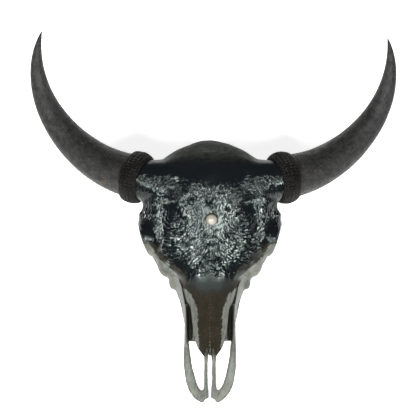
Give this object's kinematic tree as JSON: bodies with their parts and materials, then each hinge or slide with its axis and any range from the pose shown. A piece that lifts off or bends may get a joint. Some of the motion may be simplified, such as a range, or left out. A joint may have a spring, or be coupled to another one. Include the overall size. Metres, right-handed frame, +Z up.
{
  "type": "bison skull",
  "caption": "Skull of a bison bull with upswept dark horns, glossy black brow, corded collars at the horns and a pearl set in the forehead, for display.",
  "frame": {"origin": "middle of the underside of the whole skull's box, on the floor that it rests on", "axes": "+Z up from the floor, -Y towards the nose, +X towards the skull's right as seen from in front"},
  "size_m": [0.7584, 0.7146, 0.2838],
  "materials": {
    "lacquered_bone": "crinkled black gloss over bone",
    "bare_bone": "smooth grey bone, satin",
    "horn": "matt dark grey horn with fine lengthwise grain",
    "cord": "matt black plaited cord",
    "pearl": "lustrous off-white",
    "bronze": "dark satin bronze"
  },
  "bodies": {
    "root": {"cranium": "lacquered_bone", "nasal_left": "lacquered_bone", "nasal_right": "lacquered_bone", "maxilla_left": "bare_bone", "maxilla_right": "bare_bone", "premaxilla_left": "bare_bone", "premaxilla_right": "bare_bone", "horn_left": "horn", "horn_right": "horn", "collar_left": "cord", "collar_right": "cord", "pearl": "pearl", "setting": "bronze"}
  },
  "joints": []
}
